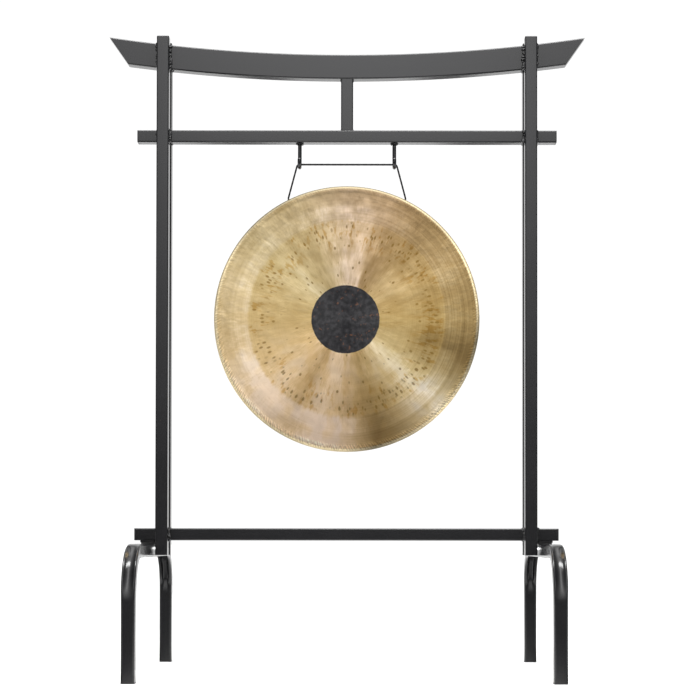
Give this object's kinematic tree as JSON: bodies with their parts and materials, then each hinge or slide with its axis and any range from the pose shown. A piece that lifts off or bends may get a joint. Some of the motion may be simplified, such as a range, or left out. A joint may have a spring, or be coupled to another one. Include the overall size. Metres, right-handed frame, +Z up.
{
  "type": "gong stand",
  "caption": "Free-standing square-tube gong stand with a curved top rail, bent tube feet and hooks, and a shallow rimmed gong hanging from them on a cord.",
  "frame": {"origin": "on the floor, under the middle of the stand", "axes": "+Z up, -Y towards the side that the gong's face and the hooks' open mouths look to, +X to the right as seen from there"},
  "size_m": [1.1762, 0.732, 1.5676],
  "materials": {
    "powder_coat": "semi-gloss black powder coat with a fine orange peel",
    "cap_plastic": "moulded black plastic",
    "pad_rubber": "cut black rubber sheet",
    "zinc_steel": "bright zinc plate",
    "gong_bronze": "turned and brushed bronze with hammer marks",
    "cord": "braided black cord"
  },
  "bodies": {
    "stand": {"post_front_left": "powder_coat", "post_base_front_left": "powder_coat", "post_front_right": "powder_coat", "post_base_front_right": "powder_coat", "post_rear_left": "powder_coat", "post_base_rear_left": "powder_coat", "post_rear_right": "powder_coat", "post_base_rear_right": "powder_coat", "bottom_rail": "powder_coat", "second_rail": "powder_coat", "centre_strut": "powder_coat", "top_rail": "powder_coat", "top_rail_end_left": "powder_coat", "gong_hook_left": "powder_coat", "foot_left": "powder_coat", "stub_plate_left": "powder_coat", "top_rail_end_right": "powder_coat", "gong_hook_right": "powder_coat", "foot_right": "powder_coat", "stub_plate_right": "powder_coat", "post_cap_front_left": "cap_plastic", "foot_tip_front_left": "cap_plastic", "post_cap_front_right": "cap_plastic", "foot_tip_front_right": "cap_plastic", "post_cap_rear_left": "cap_plastic", "foot_tip_rear_left": "cap_plastic", "post_cap_rear_right": "cap_plastic", "foot_tip_rear_right": "cap_plastic", "bottom_rail_cap_left": "cap_plastic", "second_rail_cap_left": "cap_plastic", "bottom_rail_cap_right": "cap_plastic", "second_rail_cap_right": "cap_plastic", "stub_pad_left": "pad_rubber", "stub_pad_right": "pad_rubber", "foot_bolt_front_left": "zinc_steel", "foot_spacer_front_left": "zinc_steel", "foot_nut_front_left": "zinc_steel", "foot_bolt_front_right": "zinc_steel", "foot_spacer_front_right": "zinc_steel", "foot_nut_front_right": "zinc_steel", "foot_bolt_rear_left": "zinc_steel", "foot_spacer_rear_left": "zinc_steel", "foot_nut_rear_left": "zinc_steel", "foot_bolt_rear_right": "zinc_steel", "foot_spacer_rear_right": "zinc_steel", "foot_nut_rear_right": "zinc_steel", "cord_over_hooks": "cord"},
    "hanging_cord": {"cord_drop_left": "cord", "cord_drop_right": "cord"},
    "gong": {"gong": "gong_bronze", "cord_knot_left": "cord", "cord_knot_right": "cord"}
  },
  "joints": [
    {"name": "cord_swing", "type": "hinge", "parent": "stand", "child": "hanging_cord", "pos_m": [0, -0.01175, 1.24665], "axis": [1, 0, 0], "range_deg": [-35, 35]},
    {"name": "gong_tilt", "type": "hinge", "parent": "hanging_cord", "child": "gong", "pos_m": [0, -0.01175, 1.1625], "axis": [1, 0, 0], "range_deg": [-8, 8]}
  ]
}
